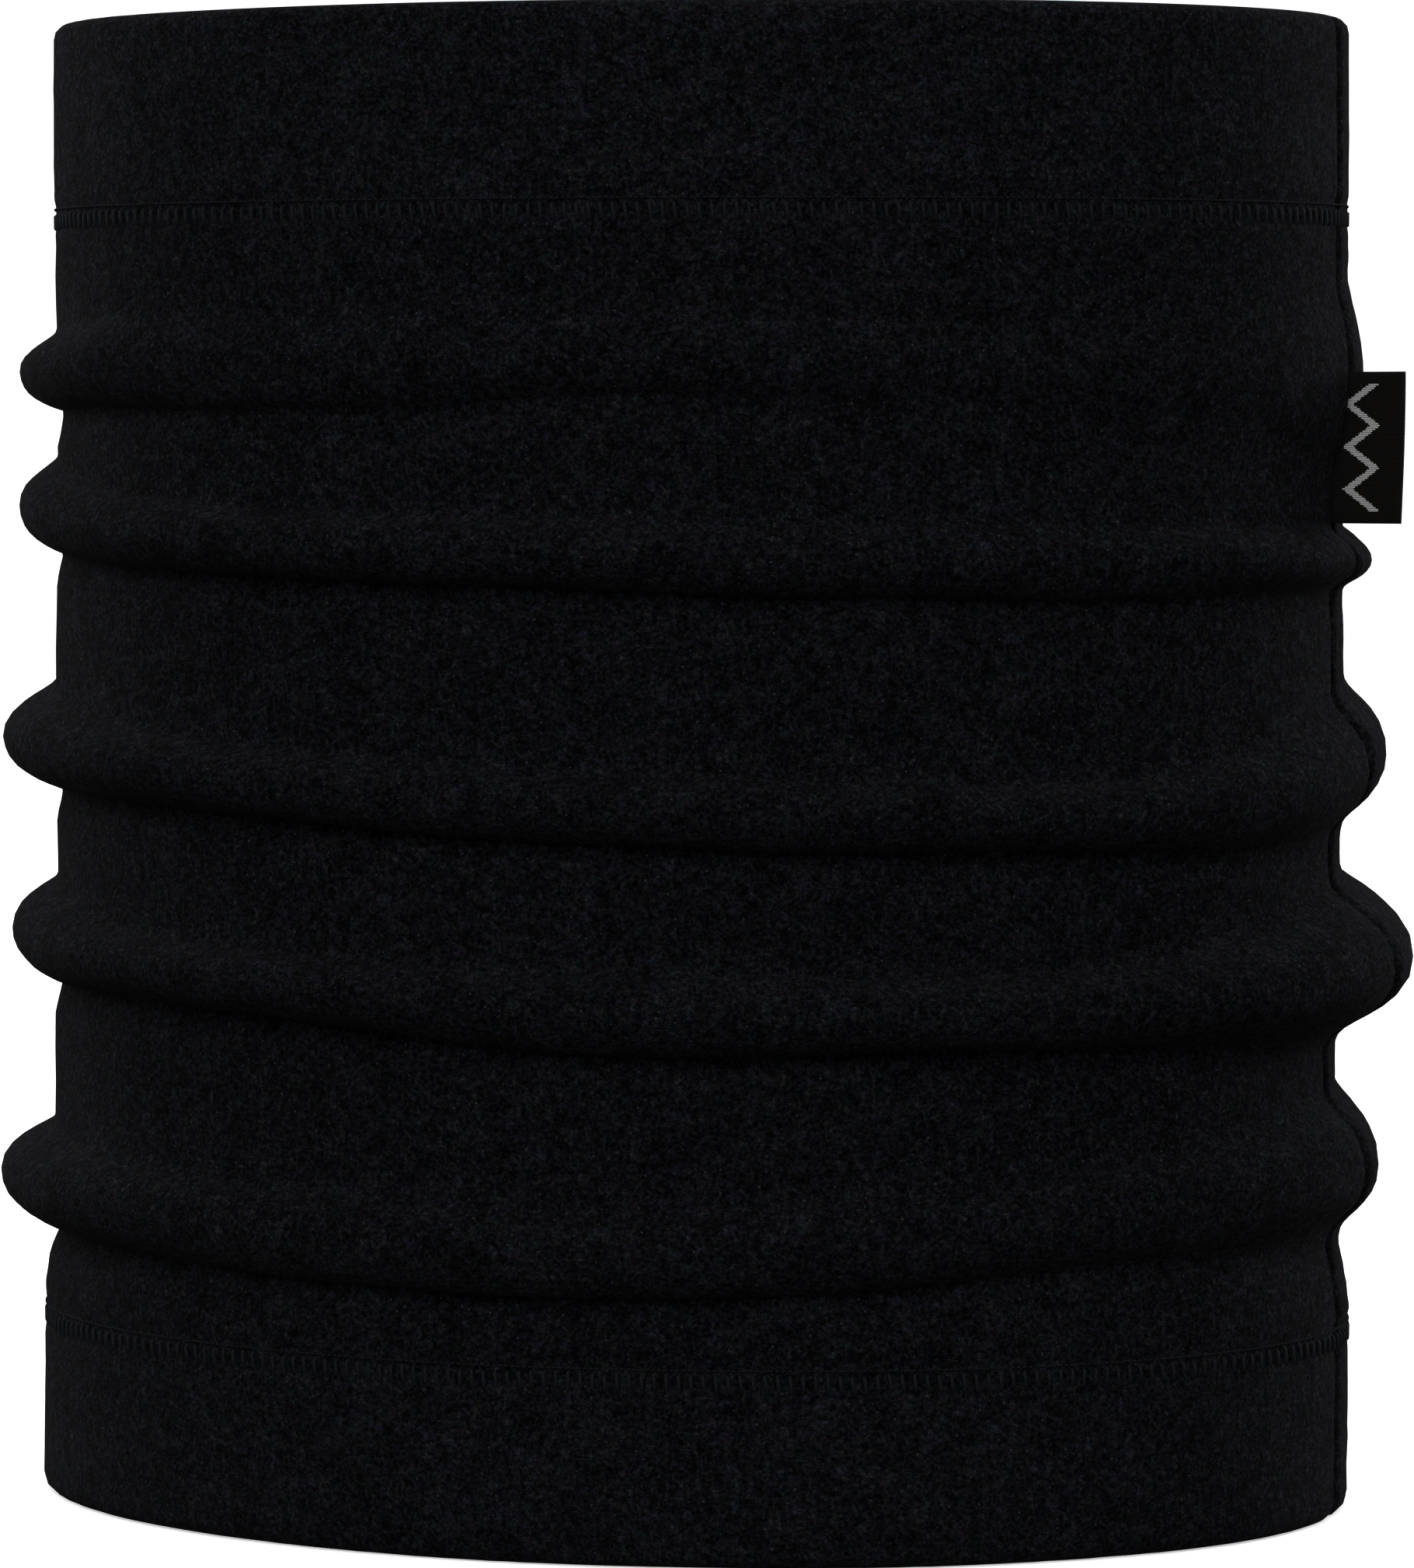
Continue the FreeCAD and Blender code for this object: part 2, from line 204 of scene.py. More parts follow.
def hang(heading):
    """The cloth's face at one heading, from the top's raw edge, over both rims, to the bottom's."""

    def wall(high, low, steps):
        heights = [high + (low - high) * step / steps for step in range(steps)]
        return [(plain_wall(heading, up), up) for up in heights]

    top_out, bottom_out = plain_wall(heading, top_turn), plain_wall(heading, bottom_turn)
    top_inner, bottom_inner = top_out - 2 * turn_radius, bottom_out - 2 * turn_radius
    points = straight((top_inner, raw_top), (top_inner, top_turn), 4)
    points += half_turn(top_out - turn_radius, top_turn, 1, 6)
    points += wall(top_turn, top_seam[1].z + row_clear, 6)
    points += wall(top_seam[1].z + row_clear, raw_top - row_clear, 18)
    last = raw_top - row_clear
    for number, (feet, creases, outs, tucks) in enumerate(folds):
        level = 0.03 * number
        uneven = ripple(heading, level, 0.035, seed=11 + number)
        wander = ripple(heading, level, 0.03, seed=5)
        foot = around(feet, heading) / 1000 + 0.0006 * wander
        foot = min(foot, last - 0.0005)
        crease = around(creases, heading) / 1000 + 0.0007 * uneven
        out = around(outs, heading) / 1000 * (1 + 0.12 * uneven)
        tuck = min(max(around(tucks, heading), 0), 1)
        crest = crease + crest_share * (foot - crease)
        under = max(crease - recovery, raw_bottom + 0.003)
        at_foot, at_crest, at_crease, at_under = (
            plain_wall(heading, up) for up in (foot, crest, crease, under)
        )
        peak = at_crest + out
        drop = crest - crease
        pinched = at_crease - (pinch + pinch_share * out) * tuck
        points += wall(last, foot, 3)
        points += curve(
            (at_foot, foot),
            (at_foot, foot - 0.3 * (foot - crest)),
            (peak, crest + 0.6 * (foot - crest)),
            (peak, crest),
            8,
        )
        points += curve(
            (peak, crest),
            (peak, crest - 0.6 * drop),
            (at_crease + 0.5 * out * tuck, crease + 0.4 * drop * (1 - tuck) - 0.0004 * tuck),
            (pinched, crease),
            8,
        )
        points += curve(
            (pinched, crease),
            (pinched - 0.0007 * tuck, crease - 0.0003 - 0.0012 * (1 - tuck)),
            (at_under - 0.0002, crease - 0.6 * (crease - under)),
            (at_under, under),
            4,
        )
        last = under
    points += wall(last, raw_bottom + row_clear, 2)
    points += wall(raw_bottom + row_clear, bottom_seam[0].z - row_clear, 17)
    points += wall(bottom_seam[0].z - row_clear, bottom_turn, 5)
    points += half_turn(bottom_out - turn_radius, bottom_turn, -1, 6)
    points += straight((bottom_inner, bottom_turn), (bottom_inner, raw_bottom), 4)
    return points + [(bottom_inner, raw_bottom)]


def column_heading(column):
    """Headings of the upright rows of the mesh, closer together beside the side seam."""
    turned = (column / columns + 0.5) % 1 - 0.5
    from_seam = turned * math.tau
    if abs(from_seam) < close_reach:
        bulge = math.sin(math.pi * from_seam / close_reach)
        from_seam -= closeness * close_reach / math.pi * bulge
    return seam_heading + from_seam


def pressed(heading, out, up):
    """The face with the dents that the hem seams and the side seam draw in it."""
    from_seam = (heading - seam_heading + math.pi) % math.tau - math.pi
    if out > -turn_radius:
        for low, high in (top_seam, bottom_seam):
            out -= dent(up, high.z - line_below_top, *line_dent)
            out -= dent(up, low.z + ladder_above_foot, *ladder_dent)
        out -= dent(from_seam * half_depth, 0, *side_dent)
        out += nap_height * ripple(heading, up, nap_size, seed=61)
    return out


grid = bmesh.new()
row_pitch = 0.01
rows = len(hang(0))
chain = [grid.verts.new((1, 0, row * row_pitch)) for row in range(rows)]
links = [grid.edges.new(pair) for pair in zip(chain, chain[1:])]
bmesh.ops.spin(
    grid, geom=chain + links, cent=(0, 0, 0), axis=(0, 0, 1), angle=math.tau, steps=columns,
    use_merge=True,
)
falls = [hang(column_heading(column)) for column in range(columns)]
for vert in grid.verts:
    column = round(math.atan2(vert.co.y, vert.co.x) / math.tau * columns) % columns
    out, up = falls[column][round(vert.co.z / row_pitch)]
    heading = column_heading(column)
    vert.co = round_tube(heading, pressed(heading, out, up), up)
bmesh.ops.recalc_face_normals(grid, faces=grid.faces)
outermost = max(grid.faces, key=lambda face: face.calc_center_median().x)
if outermost.normal.x < 0:
    bmesh.ops.reverse_faces(grid, faces=grid.faces)


def piece(name, made):
    """A finished object from a bmesh."""
    mesh = bpy.data.meshes.new(name)
    made.to_mesh(mesh)
    made.free()
    mesh.polygons.foreach_set("use_smooth", [True] * len(mesh.polygons))
    thing = bpy.data.objects.new(name, mesh)
    bpy.context.collection.objects.link(thing)
    return thing


fleece = piece("fleece", grid)
thick = fleece.modifiers.new("two faces", "SOLIDIFY")
thick.thickness = cloth
thick.offset = -1


class Wire:
    """A socket of a material. Sums written on it add Math nodes."""

    def __init__(self, finish, socket):
        self.finish = finish
        self.socket = socket

    def math(self, operation, *values):
        return self.finish.node("Math", {"operation": operation}, dict(enumerate(values)))

    def __add__(self, other):
        return self.math("ADD", self, other)

    def __sub__(self, other):
        return self.math("SUBTRACT", self, other)

    def __rsub__(self, other):
        return self.math("SUBTRACT", other, self)

    def __mul__(self, other):
        return self.math("MULTIPLY", self, other)

    def __pow__(self, other):
        return self.math("POWER", self, other)

    def above(self, limit):
        return self.math("GREATER_THAN", self, limit)

    def below(self, limit):
        return self.math("LESS_THAN", self, limit)

    def sine(self, wavelength):
        return (self * (math.tau / wavelength)).math("SINE", self * (math.tau / wavelength))

    __radd__ = __add__
    __rmul__ = __mul__


class Finish:
    """A material in the making: the shader's constants, and one method for every other node."""

    def __init__(self, name, constants):
        self.material = bpy.data.materials.new(name)
        self.material.use_nodes = True
        self.tree = self.material.node_tree
        self.shader = self.tree.nodes["Principled BSDF"]
        for socket, value in constants.items():
            self.shader.inputs[socket].default_value = value

    def node(self, kind, settings, sockets, output=0):
        made = self.tree.nodes.new("ShaderNode" + kind)
        for name, value in settings.items():
            setattr(made, name, value)
        for name, value in sockets.items():
            self.join(value, made.inputs[name])
        return Wire(self, made.outputs[output])

    def join(self, value, socket):
        if isinstance(value, Wire):
            self.tree.links.new(value.socket, socket)
        else:
            socket.default_value = value

    def feed(self, **wires):
        for name, wire in wires.items():
            self.join(wire, self.shader.inputs[name.replace("_", " ")])

    def blend(self, factor, low, high):
        settings = {"data_type": "RGBA"}
        return self.node("Mix", settings, {0: factor, 6: low, 7: high}, output=2)

    def bump(self, height, distance, strength):
        sockets = {"Height": height, "Distance": distance, "Strength": strength}
        return self.node("Bump", {}, sockets)


def noise_grain(finish, place, size, detail, roughness):
    """Noise with features of about the given size in metres, from 0 to 1."""
    sockets = {"Vector": place, "Scale": 1 / size, "Detail": detail, "Roughness": roughness}
    return finish.node("TexNoise", {}, sockets)


nap = Finish("black fleece", {
    "Roughness": 0.95, "Sheen Weight": 0.03, "Sheen Roughness": 0.25, "Specular IOR Level": 0.06,
})
place = nap.node("TexCoord", {}, {}, output="Object")
tufts = noise_grain(nap, place, 0.0014, 2.0, 0.7)
hairs = noise_grain(nap, place, 0.0006, 3.0, 0.9)
brushed = noise_grain(nap, place, 0.006, 2.0, 0.5)
shade = tufts * 0.3 + hairs * 0.7
# Painted light: the turned hems are painted a little lighter than the folded wall between them,
# which lies more in shade.
height = nap.node("SeparateXYZ", {}, {"Vector": place}, output="Z")
painted_hem_light = height.above(raw_top) + height.below(raw_bottom)
nap_tone_and_hem_light = shade + (brushed - 0.5) * 0.1 + painted_hem_light * 0.012
darkest, lightest = 0.39, 0.69
contrast = nap.node("MapRange", {}, {"Value": nap_tone_and_hem_light, 1: darkest, 2: lightest})
deep_pile, lit_pile = (0.0016, 0.0017, 0.0021, 1), (0.055, 0.0575, 0.0725, 1)
pile = nap.blend(contrast ** 1.8, deep_pile, lit_pile)
tint_size, tint_share = 0.0008, 0.55
tint_sockets = {"Vector": place, "Scale": 1 / tint_size, "Detail": 1.0}
tint = nap.node("TexNoise", {}, tint_sockets, output="Color")
overlay = {"data_type": "RGBA", "blend_type": "OVERLAY"}
tinted = nap.node("Mix", overlay, {0: tint_share, 6: pile, 7: tint}, output=2)
# One hair end in about seven catches the light: a painted highlight, a small dot in a cell of its
# own.
nearest = {"feature": "F1"}
cells = {"Vector": place, "Scale": 1 / 0.0011}
painted_glint_distance = nap.node("TexVoronoi", nearest, cells)
picked = nap.node("TexVoronoi", nearest, cells, output="Color")
glint = painted_glint_distance.below(0.17) * nap.node("SeparateColor", {}, {"Color": picked}).above(0.85)
glint_colour = (0.08, 0.083, 0.096, 1)
nap.feed(
    Base_Color=nap.blend(glint * 0.6, tinted, glint_colour),
    Normal=nap.bump(shade, 0.0012, 0.8),
)
fleece.data.materials.append(nap.material)
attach(fleece, "gaiter")
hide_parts("fleece_panel")

# ---------------------------------------------------------------- side seam allowance
# Where the panel's two upright edges meet, they stand side by side inside the tube as a double
# strip, from one hem to the other, and the ends of both labels lie between them.
allowance_width = 0.007
free_edge = -cloth - allowance_width
seam_wall = hang(seam_heading)
seam_facing = Vector(
    (half_depth * math.cos(seam_heading), half_width * math.sin(seam_heading), 0)
).normalized()
seam_beside = Vector((-seam_facing.y, seam_facing.x, 0))
label_boxes = [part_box("side_label"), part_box("care_label")]
leaf_gap, label_gap, label_ease = 0.00005, 0.00045, 0.004


def widest_out(up):
    """How far out the cloth of the seam reaches at a height."""
    reached = [
        a[0] + (b[0] - a[0]) * (up - a[1]) / (b[1] - a[1])
        for a, b in zip(seam_wall, seam_wall[1:])
        if a[1] != b[1] and min(a[1], b[1]) <= up <= max(a[1], b[1])
    ]
    return max(reached)


def parted(up):
    """How far each leaf of the allowance stands off its middle: more where a label lies in it."""
    spread = leaf_gap
    for low, high in label_boxes:
        over_foot = smooth_step(low.z - label_ease, low.z, up)
        under_head = smooth_step(high.z + label_ease, high.z, up)
        spread += label_gap * (over_foot * under_head)
    return spread


def by_seam(out, along, up):
    """A point near the side seam: out from the wall, along it towards the back, and up."""
    return round_tube(seam_heading, 0, up) + seam_facing * out + seam_beside * along


leaves = bmesh.new()
for side in (-1, 1):
    made = bmesh.ops.create_grid(leaves, x_segments=5, y_segments=90, size=0.5)
    for vert in made["verts"]:
        across = vert.co.x + 0.5
        up = raw_bottom + (vert.co.y + 0.5) * (raw_top - raw_bottom)
        inner = free_edge + 0.0004 * ripple(0, up, 0.012, seed=21 + side)
        outer = max(widest_out(up) - 1.2 * cloth, inner + 0.002)
        middle = side * (cloth / 2 + parted(up))
        vert.co = by_seam(inner + (outer - inner) * across, middle, up)
allowance = piece("seam_allowance", leaves)
leaf = allowance.modifiers.new("two faces", "SOLIDIFY")
leaf.thickness = cloth
leaf.offset = 0
allowance.data.materials.append(nap.material)
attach(allowance, "gaiter")

# ---------------------------------------------------------------- hem threads
# Textured polyester thread. The needle thread of each hem shows outside as a row of short
# upright bars under a fine running line, and the looper thread zigzags inside over the edge.
thread_finish = Finish("black thread", {"Roughness": 0.8, "Specular IOR Level": 0.15})
spun_place = thread_finish.node("TexCoord", {}, {}, output="Object")
filaments = noise_grain(thread_finish, spun_place, 0.0003, 2.0, 0.6)
thread_dark, thread_lit = (0.006, 0.0068, 0.008, 1), (0.026, 0.029, 0.034, 1)
thread_finish.feed(
    Base_Color=thread_finish.blend(filaments, thread_dark, thread_lit),
    Normal=thread_finish.bump(filaments, 0.0002, 0.6),
)
bar_pitch = 0.0018
bar_radius, dash_radius, loop_radius = 0.0003, 0.00018, 0.00022
# Heights over a hem seam's foot, then heights over the cloth's face: where a thread shows it lies
# almost level with the nap, and its ends go down into the cloth.
bar_foot, bar_head, dash_line = 0.0001, 0.0028, 0.0034
bar_lift, dash_lift = -0.0001, -0.00006
bar_head_sink, bar_foot_sink, dash_sink = -0.0007, -0.0008, -0.0006
bar_dip, dash_half, dash_flat = 0.0005, 0.00026, 0.0001
# The looper thread: how far it reaches from the raw edge into the hem, how near it comes to the
# edge and how far past it, how far it stands off the lining, and how far it goes behind its face.
loop_reach, loop_near, loop_past = 0.0042, 0.0004, 0.0005
loop_off, loop_behind = 0.0002, 0.0008
many_runs = 400


def way_along(line):
    """How far it is along a line to each of its points."""
    walked = [0.0]
    for a, b in zip(line, line[1:]):
        walked.append(walked[-1] + (b - a).length)
    return walked


def stitch_headings(pitch):
    """Headings at even steps along the cloth, all the way round."""
    parts = 3600
    turns = [math.tau * step / parts for step in range(parts + 1)]
    walked = way_along([round_tube(turn, 0, 0) for turn in turns])
    count = round(walked[-1] / pitch)
    headings, turn = [], 0
    for stitch in range(count):
        target = walked[-1] * stitch / count
        while walked[turn + 1] < target:
            turn += 1
        share = (target - walked[turn]) / (walked[turn + 1] - walked[turn])
        headings.append(turns[turn] + share * (turns[turn + 1] - turns[turn]))
    return headings


def sewn(name, node, passes):
    """A thread piece. Each pass is a list of runs of points, the thread's radius, and closed."""
    whole = bmesh.new()
    for runs, radius, closed in passes:
        line = bpy.data.curves.new(name, "CURVE")
        line.dimensions = "3D"
        line.bevel_depth = radius
        line.bevel_resolution = 0 if len(runs) > many_runs else 1
        line.use_fill_caps = not closed
        for run in runs:
            spline = line.splines.new("POLY")
            spline.points.add(len(run) - 1)
            for point, spot in zip(spline.points, run):
                point.co = (*spot, 1)
            spline.use_cyclic_u = closed
        laid = bpy.data.objects.new(name, line)
        whole.from_mesh(bpy.data.meshes.new_from_object(laid))
        bpy.data.objects.remove(laid)
    thread = piece(name, whole)
    thread.data.materials.append(thread_finish.material)
    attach(thread, "gaiter")
    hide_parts(node)


def hem_face(heading, lift, up):
    """A point over the outer face of a hem."""
    return round_tube(heading, plain_wall(heading, up) + lift, up)


def metres_a_radian(heading):
    """How far it is along the cloth for each radian of heading."""
    return math.hypot(half_width * math.sin(heading), half_depth * math.cos(heading))


for end, seam, raw, turn in (
    ("top", top_seam, raw_top, top_turn),
    ("bottom", bottom_seam, raw_bottom, bottom_turn),
):
    bar_low, bar_high = seam[0].z + bar_foot, seam[0].z + bar_head
    dash_height = seam[0].z + dash_line
    bars, dashes, zigzag = [], [], []
    for heading in stitch_headings(bar_pitch):
        slip = 0.0002 * ripple(heading, bar_low, 0.004, seed=41)
        slant = 0.0001 / half_width * (1 + ripple(heading, bar_low, 0.01, seed=43))
        bars.append([
            hem_face(heading - slant, bar_head_sink, bar_high + slip),
            hem_face(heading - slant, bar_lift, bar_high - bar_dip + slip),
            hem_face(heading + slant, bar_lift, bar_low + bar_dip + slip),
            hem_face(heading + slant, bar_foot_sink, bar_low + slip),
        ])
    for heading in stitch_headings(bar_pitch / 2):
        run = metres_a_radian(heading)
        dashes.append([
            hem_face(heading - dash_half / run, dash_sink, dash_height),
            hem_face(heading - dash_flat / run, dash_lift, dash_height),
            hem_face(heading + dash_flat / run, dash_lift, dash_height),
            hem_face(heading + dash_half / run, dash_sink, dash_height),
        ])
    ladder = [(bars, bar_radius, False), (dashes, dash_radius, False)]
    sewn(f"{end}_hem_ladder", f"{end}_hem_needle_thread", ladder)
    inward = 1 if end == "top" else -1
    for heading in stitch_headings(bar_pitch):
        lining = plain_wall(heading, turn) - 2 * turn_radius
        half_step = bar_pitch / 2 / metres_a_radian(heading)
        off, behind = lining - loop_off, lining + loop_behind
        near, past = raw + inward * loop_near, raw - inward * loop_past
        zigzag.append(round_tube(heading, off, raw + inward * loop_reach))
        zigzag.append(round_tube(heading + half_step, off, near))
        zigzag.append(round_tube(heading + half_step, behind, past))
        zigzag.append(round_tube(heading + half_step * 1.4, off, near))
    sewn(f"{end}_hem_loops", f"{end}_hem_looper_thread", [([zigzag], loop_radius, True)])

# ---------------------------------------------------------------- side seam threads
# A three-thread overlock on the allowance: a needle line near the wall, and an upper and a
# lower looper thread that meet round the free edge.
needle_out = free_edge + 0.0056
loop_out = free_edge + 0.0046
loop_pitch = 0.0022
needle_radius, overlock_radius = 0.00022, 0.00024
overlock_lift = 0.00015
stitch_half, stitch_flat, stitch_sink = 0.0009, 0.0005, 0.0006
# The loops meet past the free edge, and come round it at either side of their middle.
meet_past, round_past, meet_down, round_half = 0.0006, 0.0002, 0.0005, 0.0003
loops = int((raw_top - raw_bottom) / loop_pitch)
needle_runs, looped = [], {1: [], -1: []}
for loop in range(loops):
    up = raw_bottom + loop_pitch * (loop + 0.5)
    face = cloth + parted(up) + overlock_lift
    for side, run in looped.items():
        needle_runs.append([
            by_seam(needle_out, side * (face - stitch_sink), up - stitch_half),
            by_seam(needle_out, side * face, up - stitch_flat),
            by_seam(needle_out, side * face, up + stitch_flat),
            by_seam(needle_out, side * (face - stitch_sink), up + stitch_half),
        ])
        run.append(by_seam(free_edge - meet_past, side * 0.0003, up - meet_down))
        run.append(by_seam(free_edge - round_past, side * face, up - round_half))
        run.append(by_seam(loop_out, side * face, up))
        run.append(by_seam(free_edge - round_past, side * face, up + round_half))
needle_pass = (needle_runs, needle_radius, False)
sewn("side_seam_needle_stitches", "side_seam_needle_thread", [needle_pass])
for name, side in (("upper", 1), ("lower", -1)):
    loop_pass = ([looped[side]], overlock_radius, False)
    sewn(f"side_seam_{name}_loops", f"side_seam_{name}_looper_thread", [loop_pass])

# ---------------------------------------------------------------- side label
# A black damask-woven ribbon, folded double, with its cut ends sewn into the side seam, so
# that it stands out as a small flag. A pale zigzag is woven into both of its faces.
bends = {joint["name"]: Vector(joint["pos_m"]) for joint in frame["joints"]}
upward = Vector((0, 0, 1))
spine_step, tail_steps, tip_steps, ribbon_rows, softenings = 0.0004, 30, 6, 26, 6
ply_clear, ply_share = 0.00002, 0.96


def reach_of(node, bend):
    """Which way a label's solid runs from its bend, and how far it reaches."""
    corners = [vert.co - bend for vert in frame["nodes"][node].data.vertices]
    run = sum(corners, Vector()) / len(corners)
    run.z = 0
    run.normalize()
    return run, max(corner.dot(run) for corner in corners)


def softened(line):
    """A line with its corners rounded and its ends kept."""
    for _ in range(softenings):
        inner = [(a + 2 * b + c) / 4 for a, b, c in zip(line, line[1:], line[2:])]
        line = [line[0], *inner, line[-1]]
    return line


def doubled(spine, ply):
    """The line of a ribbon that runs out beside a spine, round its tip and back."""
    headings = [(b - a).normalized() for a, b in zip(spine, spine[1:])]
    headings.append(headings[-1])
    half = ply / 2 + ply_clear
    out = [spot - upward.cross(way) * half for spot, way in zip(spine, headings)]
    back = [spot + upward.cross(way) * half for spot, way in zip(spine, headings)]
    tip, way = spine[-1], headings[-1]
    turned = [
        tip - upward.cross(way) * half * math.cos(angle) + way * half * math.sin(angle)
        for angle in (math.pi * step / tip_steps for step in range(1, tip_steps))
    ]
    return out + turned + back[::-1]


def ribbon(name, bend, node, tail_node, ply, droop, bow):
    """A ribbon folded double round its tip. Its UV is the way from the tip, and the height."""
    low, high = (corner.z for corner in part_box(node))
    run, reach = reach_of(node, bend)
    tail_run, tail_reach = reach_of(tail_node, bend)
    tail = [bend + tail_run * tail_reach * (1 - step / tail_steps) for step in range(tail_steps)]
    count = round(reach / spine_step)
    free = [bend + run * reach * step / count for step in range(count + 1)]
    line = doubled(softened(tail + free), ply)
    walked = way_along(line)
    cloth_mesh = bmesh.new()
    from_tip = cloth_mesh.verts.layers.float.new("from_tip")
    knots = []
    for spot, so_far in zip(line, walked):
        knot = cloth_mesh.verts.new((spot.x, spot.y, low))
        knot[from_tip] = abs(so_far - walked[-1] / 2)
        knots.append(knot)
    threads_across = [cloth_mesh.edges.new(pair) for pair in zip(knots, knots[1:])]
    bmesh.ops.spin(
        cloth_mesh, geom=knots + threads_across, cent=(0, 0, 0), axis=(0, 0, 1), angle=0,
        dvec=(0, 0, (high - low) / ribbon_rows), steps=ribbon_rows, use_merge=False,
    )
    weave = cloth_mesh.loops.layers.uv.new("weave")
    for woven in cloth_mesh.faces:
        for loop in woven.loops:
            loop[weave].uv = (loop.vert[from_tip], loop.vert.co.z - low)
    for vert in cloth_mesh.verts:
        past = max((vert.co - bend).dot(run), 0) / reach
        share = (vert.co.z - low) / (high - low)
        vert.co -= run * droop * past * (1 - share) ** 1.5
        vert.co += upward.cross(run) * bow * past ** 2 * math.sin(math.pi * (share - 0.15))
        vert.co.z += 0.00015 * past * math.sin(3 * share)
    bmesh.ops.recalc_face_normals(cloth_mesh, faces=cloth_mesh.faces)
    made = piece(name, cloth_mesh)
    body = made.modifiers.new("ply", "SOLIDIFY")
    body.thickness = ply * ply_share
    body.offset = 0
    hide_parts(node, tail_node)
    return made, walked[-1], high - low


side_bend = bends["side_label_bend"]
flag, flag_length, flag_width = ribbon(
    "side_flag_ribbon", side_bend, "side_label", "side_label_tail", 0.00045, 0.0004, 0.0003
)
damask = Finish("black damask ribbon", {"Specular IOR Level": 0.15})
flag_uv = damask.node("UVMap", {"uv_map": "weave"}, {})
from_tip = damask.node("SeparateXYZ", {}, {"Vector": flag_uv}, output="X")
up_flag = damask.node("SeparateXYZ", {}, {"Vector": flag_uv}, output="Y")
yarn, pick = 0.00022, 0.00028
at_yarn = from_tip.math("SNAP", from_tip, yarn)
at_pick = up_flag.math("SNAP", up_flag, pick)
zig_period, zig_swing, zig_stroke = 0.0064, 0.0021, 0.0008
motif_margin = 0.0018
zig_middle = 0.0064
from_margin = at_pick - motif_margin
zig_slope = 4 * zig_swing / zig_period
zig = from_margin.math("PINGPONG", from_margin, zig_period / 2) * zig_slope
off_line = at_yarn - zig - (zig_middle - zig_swing)
on_line = damask.node("Math", {"operation": "COMPARE"}, {0: off_line, 1: 0.0, 2: zig_stroke})
motif = on_line * up_flag.above(motif_margin) * up_flag.below(flag_width - motif_margin)
ribs = up_flag.sine(pick)
floats = from_tip.sine(yarn)
texture = ribs * 0.5 + ribs * floats * 0.4
ground_dark, ground_lit = (0.0045, 0.0038, 0.0034, 1), (0.019, 0.0165, 0.0145, 1)
pale_dark, pale_lit = (0.3, 0.3, 0.3, 1), (0.62, 0.62, 0.61, 1)
ground = damask.blend(texture * 0.5 + 0.5, ground_dark, ground_lit)
pale_yarn = damask.blend(texture * 0.5 + 0.5, pale_dark, pale_lit)
damask.feed(
    Base_Color=damask.blend(motif, ground, pale_yarn),
    Roughness=0.55 - motif * 0.1,
    Normal=damask.bump(texture + motif * 0.8, 0.00012, 0.8),
)
flag.data.materials.append(damask.material)
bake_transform(flag)

# ---------------------------------------------------------------- care label
# A blank white satin ribbon, folded double, with its ends sewn into the allowance inside the
# tube. It leans from straight inward towards the back.
care_bend = bends["care_label_bend"]
care, care_length, care_width = ribbon(
    "care_ribbon", care_bend, "care_label", "care_label_tail", 0.0003, 0.0002, 0.0012
)
satin = Finish("white satin ribbon", {"Specular IOR Level": 0.5, "Sheen Weight": 0.1})
care_uv = satin.node("UVMap", {"uv_map": "weave"}, {})
up_care = satin.node("SeparateXYZ", {}, {"Vector": care_uv}, output="Y")
shine = up_care.sine(0.0003)
edge_cord = up_care.math("PINGPONG", up_care, care_width / 2).above(0.0006)
satin_dull, satin_bright = (0.6, 0.6, 0.59, 1), (0.8, 0.8, 0.79, 1)
satin.feed(
    Base_Color=satin.blend(shine * 0.5 + 0.5, satin_dull, satin_bright),
    Roughness=0.52 - edge_cord * 0.14,
    Normal=satin.bump(shine + edge_cord, 0.00008, 0.6),
)
care.data.materials.append(satin.material)
care_way = reach_of("care_label", care_bend)[0]
care_bend - care_way * 0.0009
care_bend + care_way * 0.0009
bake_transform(care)

# ---------------------------------------------------------------- studio
# A plain pale round studio, whose floor turns up into its wall. It is seen but throws no light
# on the tube, which is lit from a soft sky above and three soft boxes.
studio = bmesh.new()
floor_reach, wall_height, cove = 5.0, 6.0, 1.5
profile = [(0, 0), (floor_reach - cove, 0)]
cove_steps = 8
for step in range(1, cove_steps + 1):
    angle = math.radians(90) * step / cove_steps
    profile.append((floor_reach - cove + cove * math.sin(angle), cove * (1 - math.cos(angle))))
profile.append((floor_reach, wall_height))
outline = [studio.verts.new((x, 0, z)) for x, z in profile]
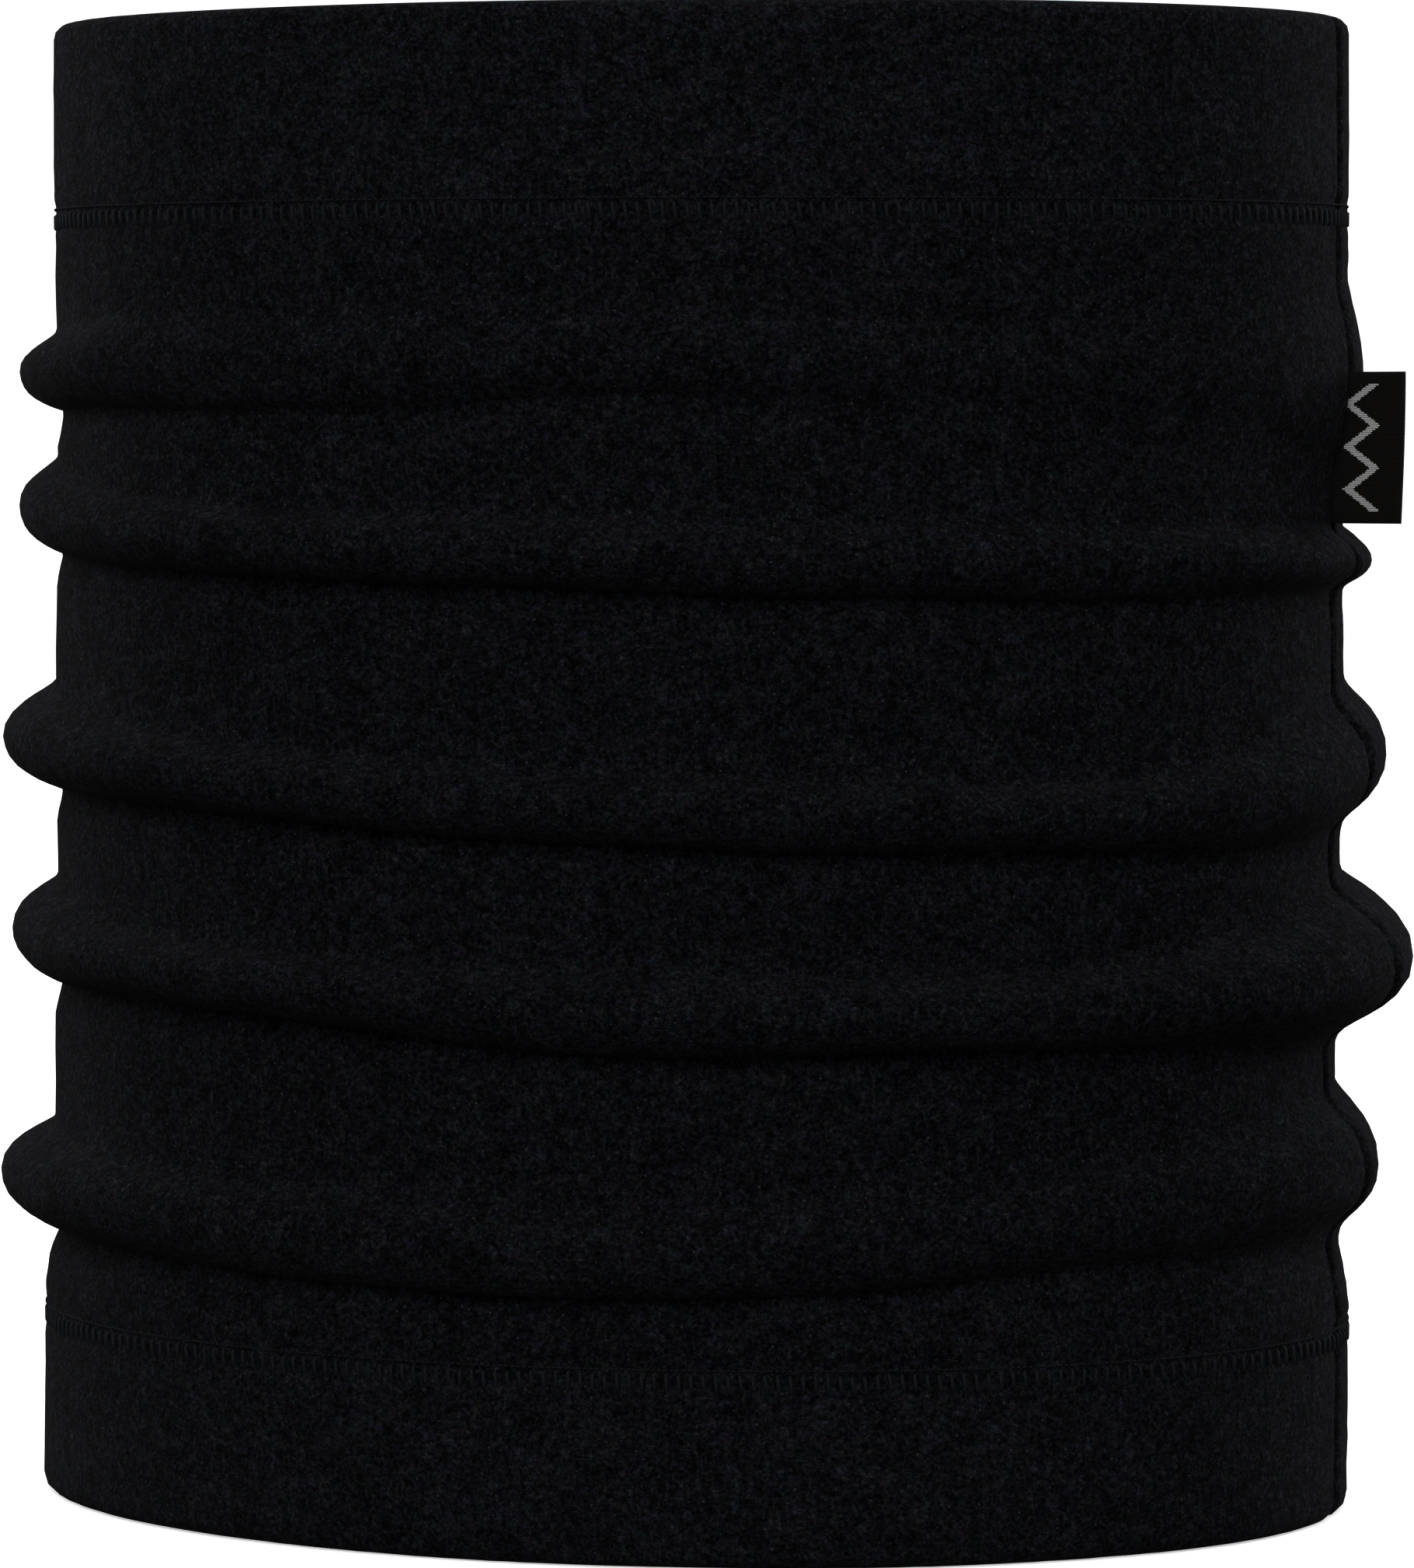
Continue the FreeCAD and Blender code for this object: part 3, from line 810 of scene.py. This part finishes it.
sides = [studio.edges.new(pair) for pair in zip(outline, outline[1:])]
bmesh.ops.spin(
    studio, geom=outline + sides, cent=(0, 0, 0), axis=(0, 0, 1), angle=math.tau, steps=64,
    use_merge=True,
)
room = piece("studio", studio)
pale = Finish("pale studio", {
    "Base Color": (0.85, 0.85, 0.85, 1), "Roughness": 0.9,
    "Emission Color": (1, 1, 1, 1), "Emission Strength": 0.55,
})
room.data.materials.append(pale.material)
room.visible_diffuse = False
room.visible_glossy = False
room.visible_shadow = False

world = bpy.data.worlds.new("sky")
world.use_nodes = True
sky = world.node_tree
direction = sky.nodes.new("ShaderNodeTexCoord")
skyward = sky.nodes.new("ShaderNodeSeparateXYZ")
sky.links.new(direction.outputs["Generated"], skyward.inputs["Vector"])
brightness = sky.nodes.new("ShaderNodeMapRange")
sky.links.new(skyward.outputs["Z"], brightness.inputs["Value"])
for socket, value in {"From Min": -0.6, "From Max": 0.9, "To Min": 0.17, "To Max": 0.75}.items():
    brightness.inputs[socket].default_value = value
sky.links.new(brightness.outputs["Result"], sky.nodes["Background"].inputs["Strength"])
sky.nodes["Background"].inputs["Color"].default_value = (1, 1, 1, 1)
bpy.context.scene.world = world
view = bpy.context.scene.view_settings
view.view_transform = "Standard"
view.gamma = 0.75


def softbox(name, heading, elevation, size, power):
    """A square soft box that faces the middle of the tube, from a heading and an elevation."""
    far = 1.6
    light = bpy.data.lights.new(name, "AREA")
    light.shape = "SQUARE"
    light.size = size
    light.energy = power
    lamp = bpy.data.objects.new(name, light)
    target = Vector((0, 0, 0.11))
    flat = math.cos(math.radians(elevation))
    toward = Vector((
        flat * math.cos(math.radians(heading)),
        flat * math.sin(math.radians(heading)),
        math.sin(math.radians(elevation)),
    ))
    lamp.location = target + far * toward
    lamp.rotation_euler = (-toward).to_track_quat("-Z", "Y").to_euler()
    bpy.context.collection.objects.link(lamp)


softbox("front", heading=-88, elevation=33, size=1.0, power=13.5)
softbox("left", heading=148, elevation=12, size=0.6, power=11)
softbox("right", heading=42, elevation=12, size=0.6, power=15)
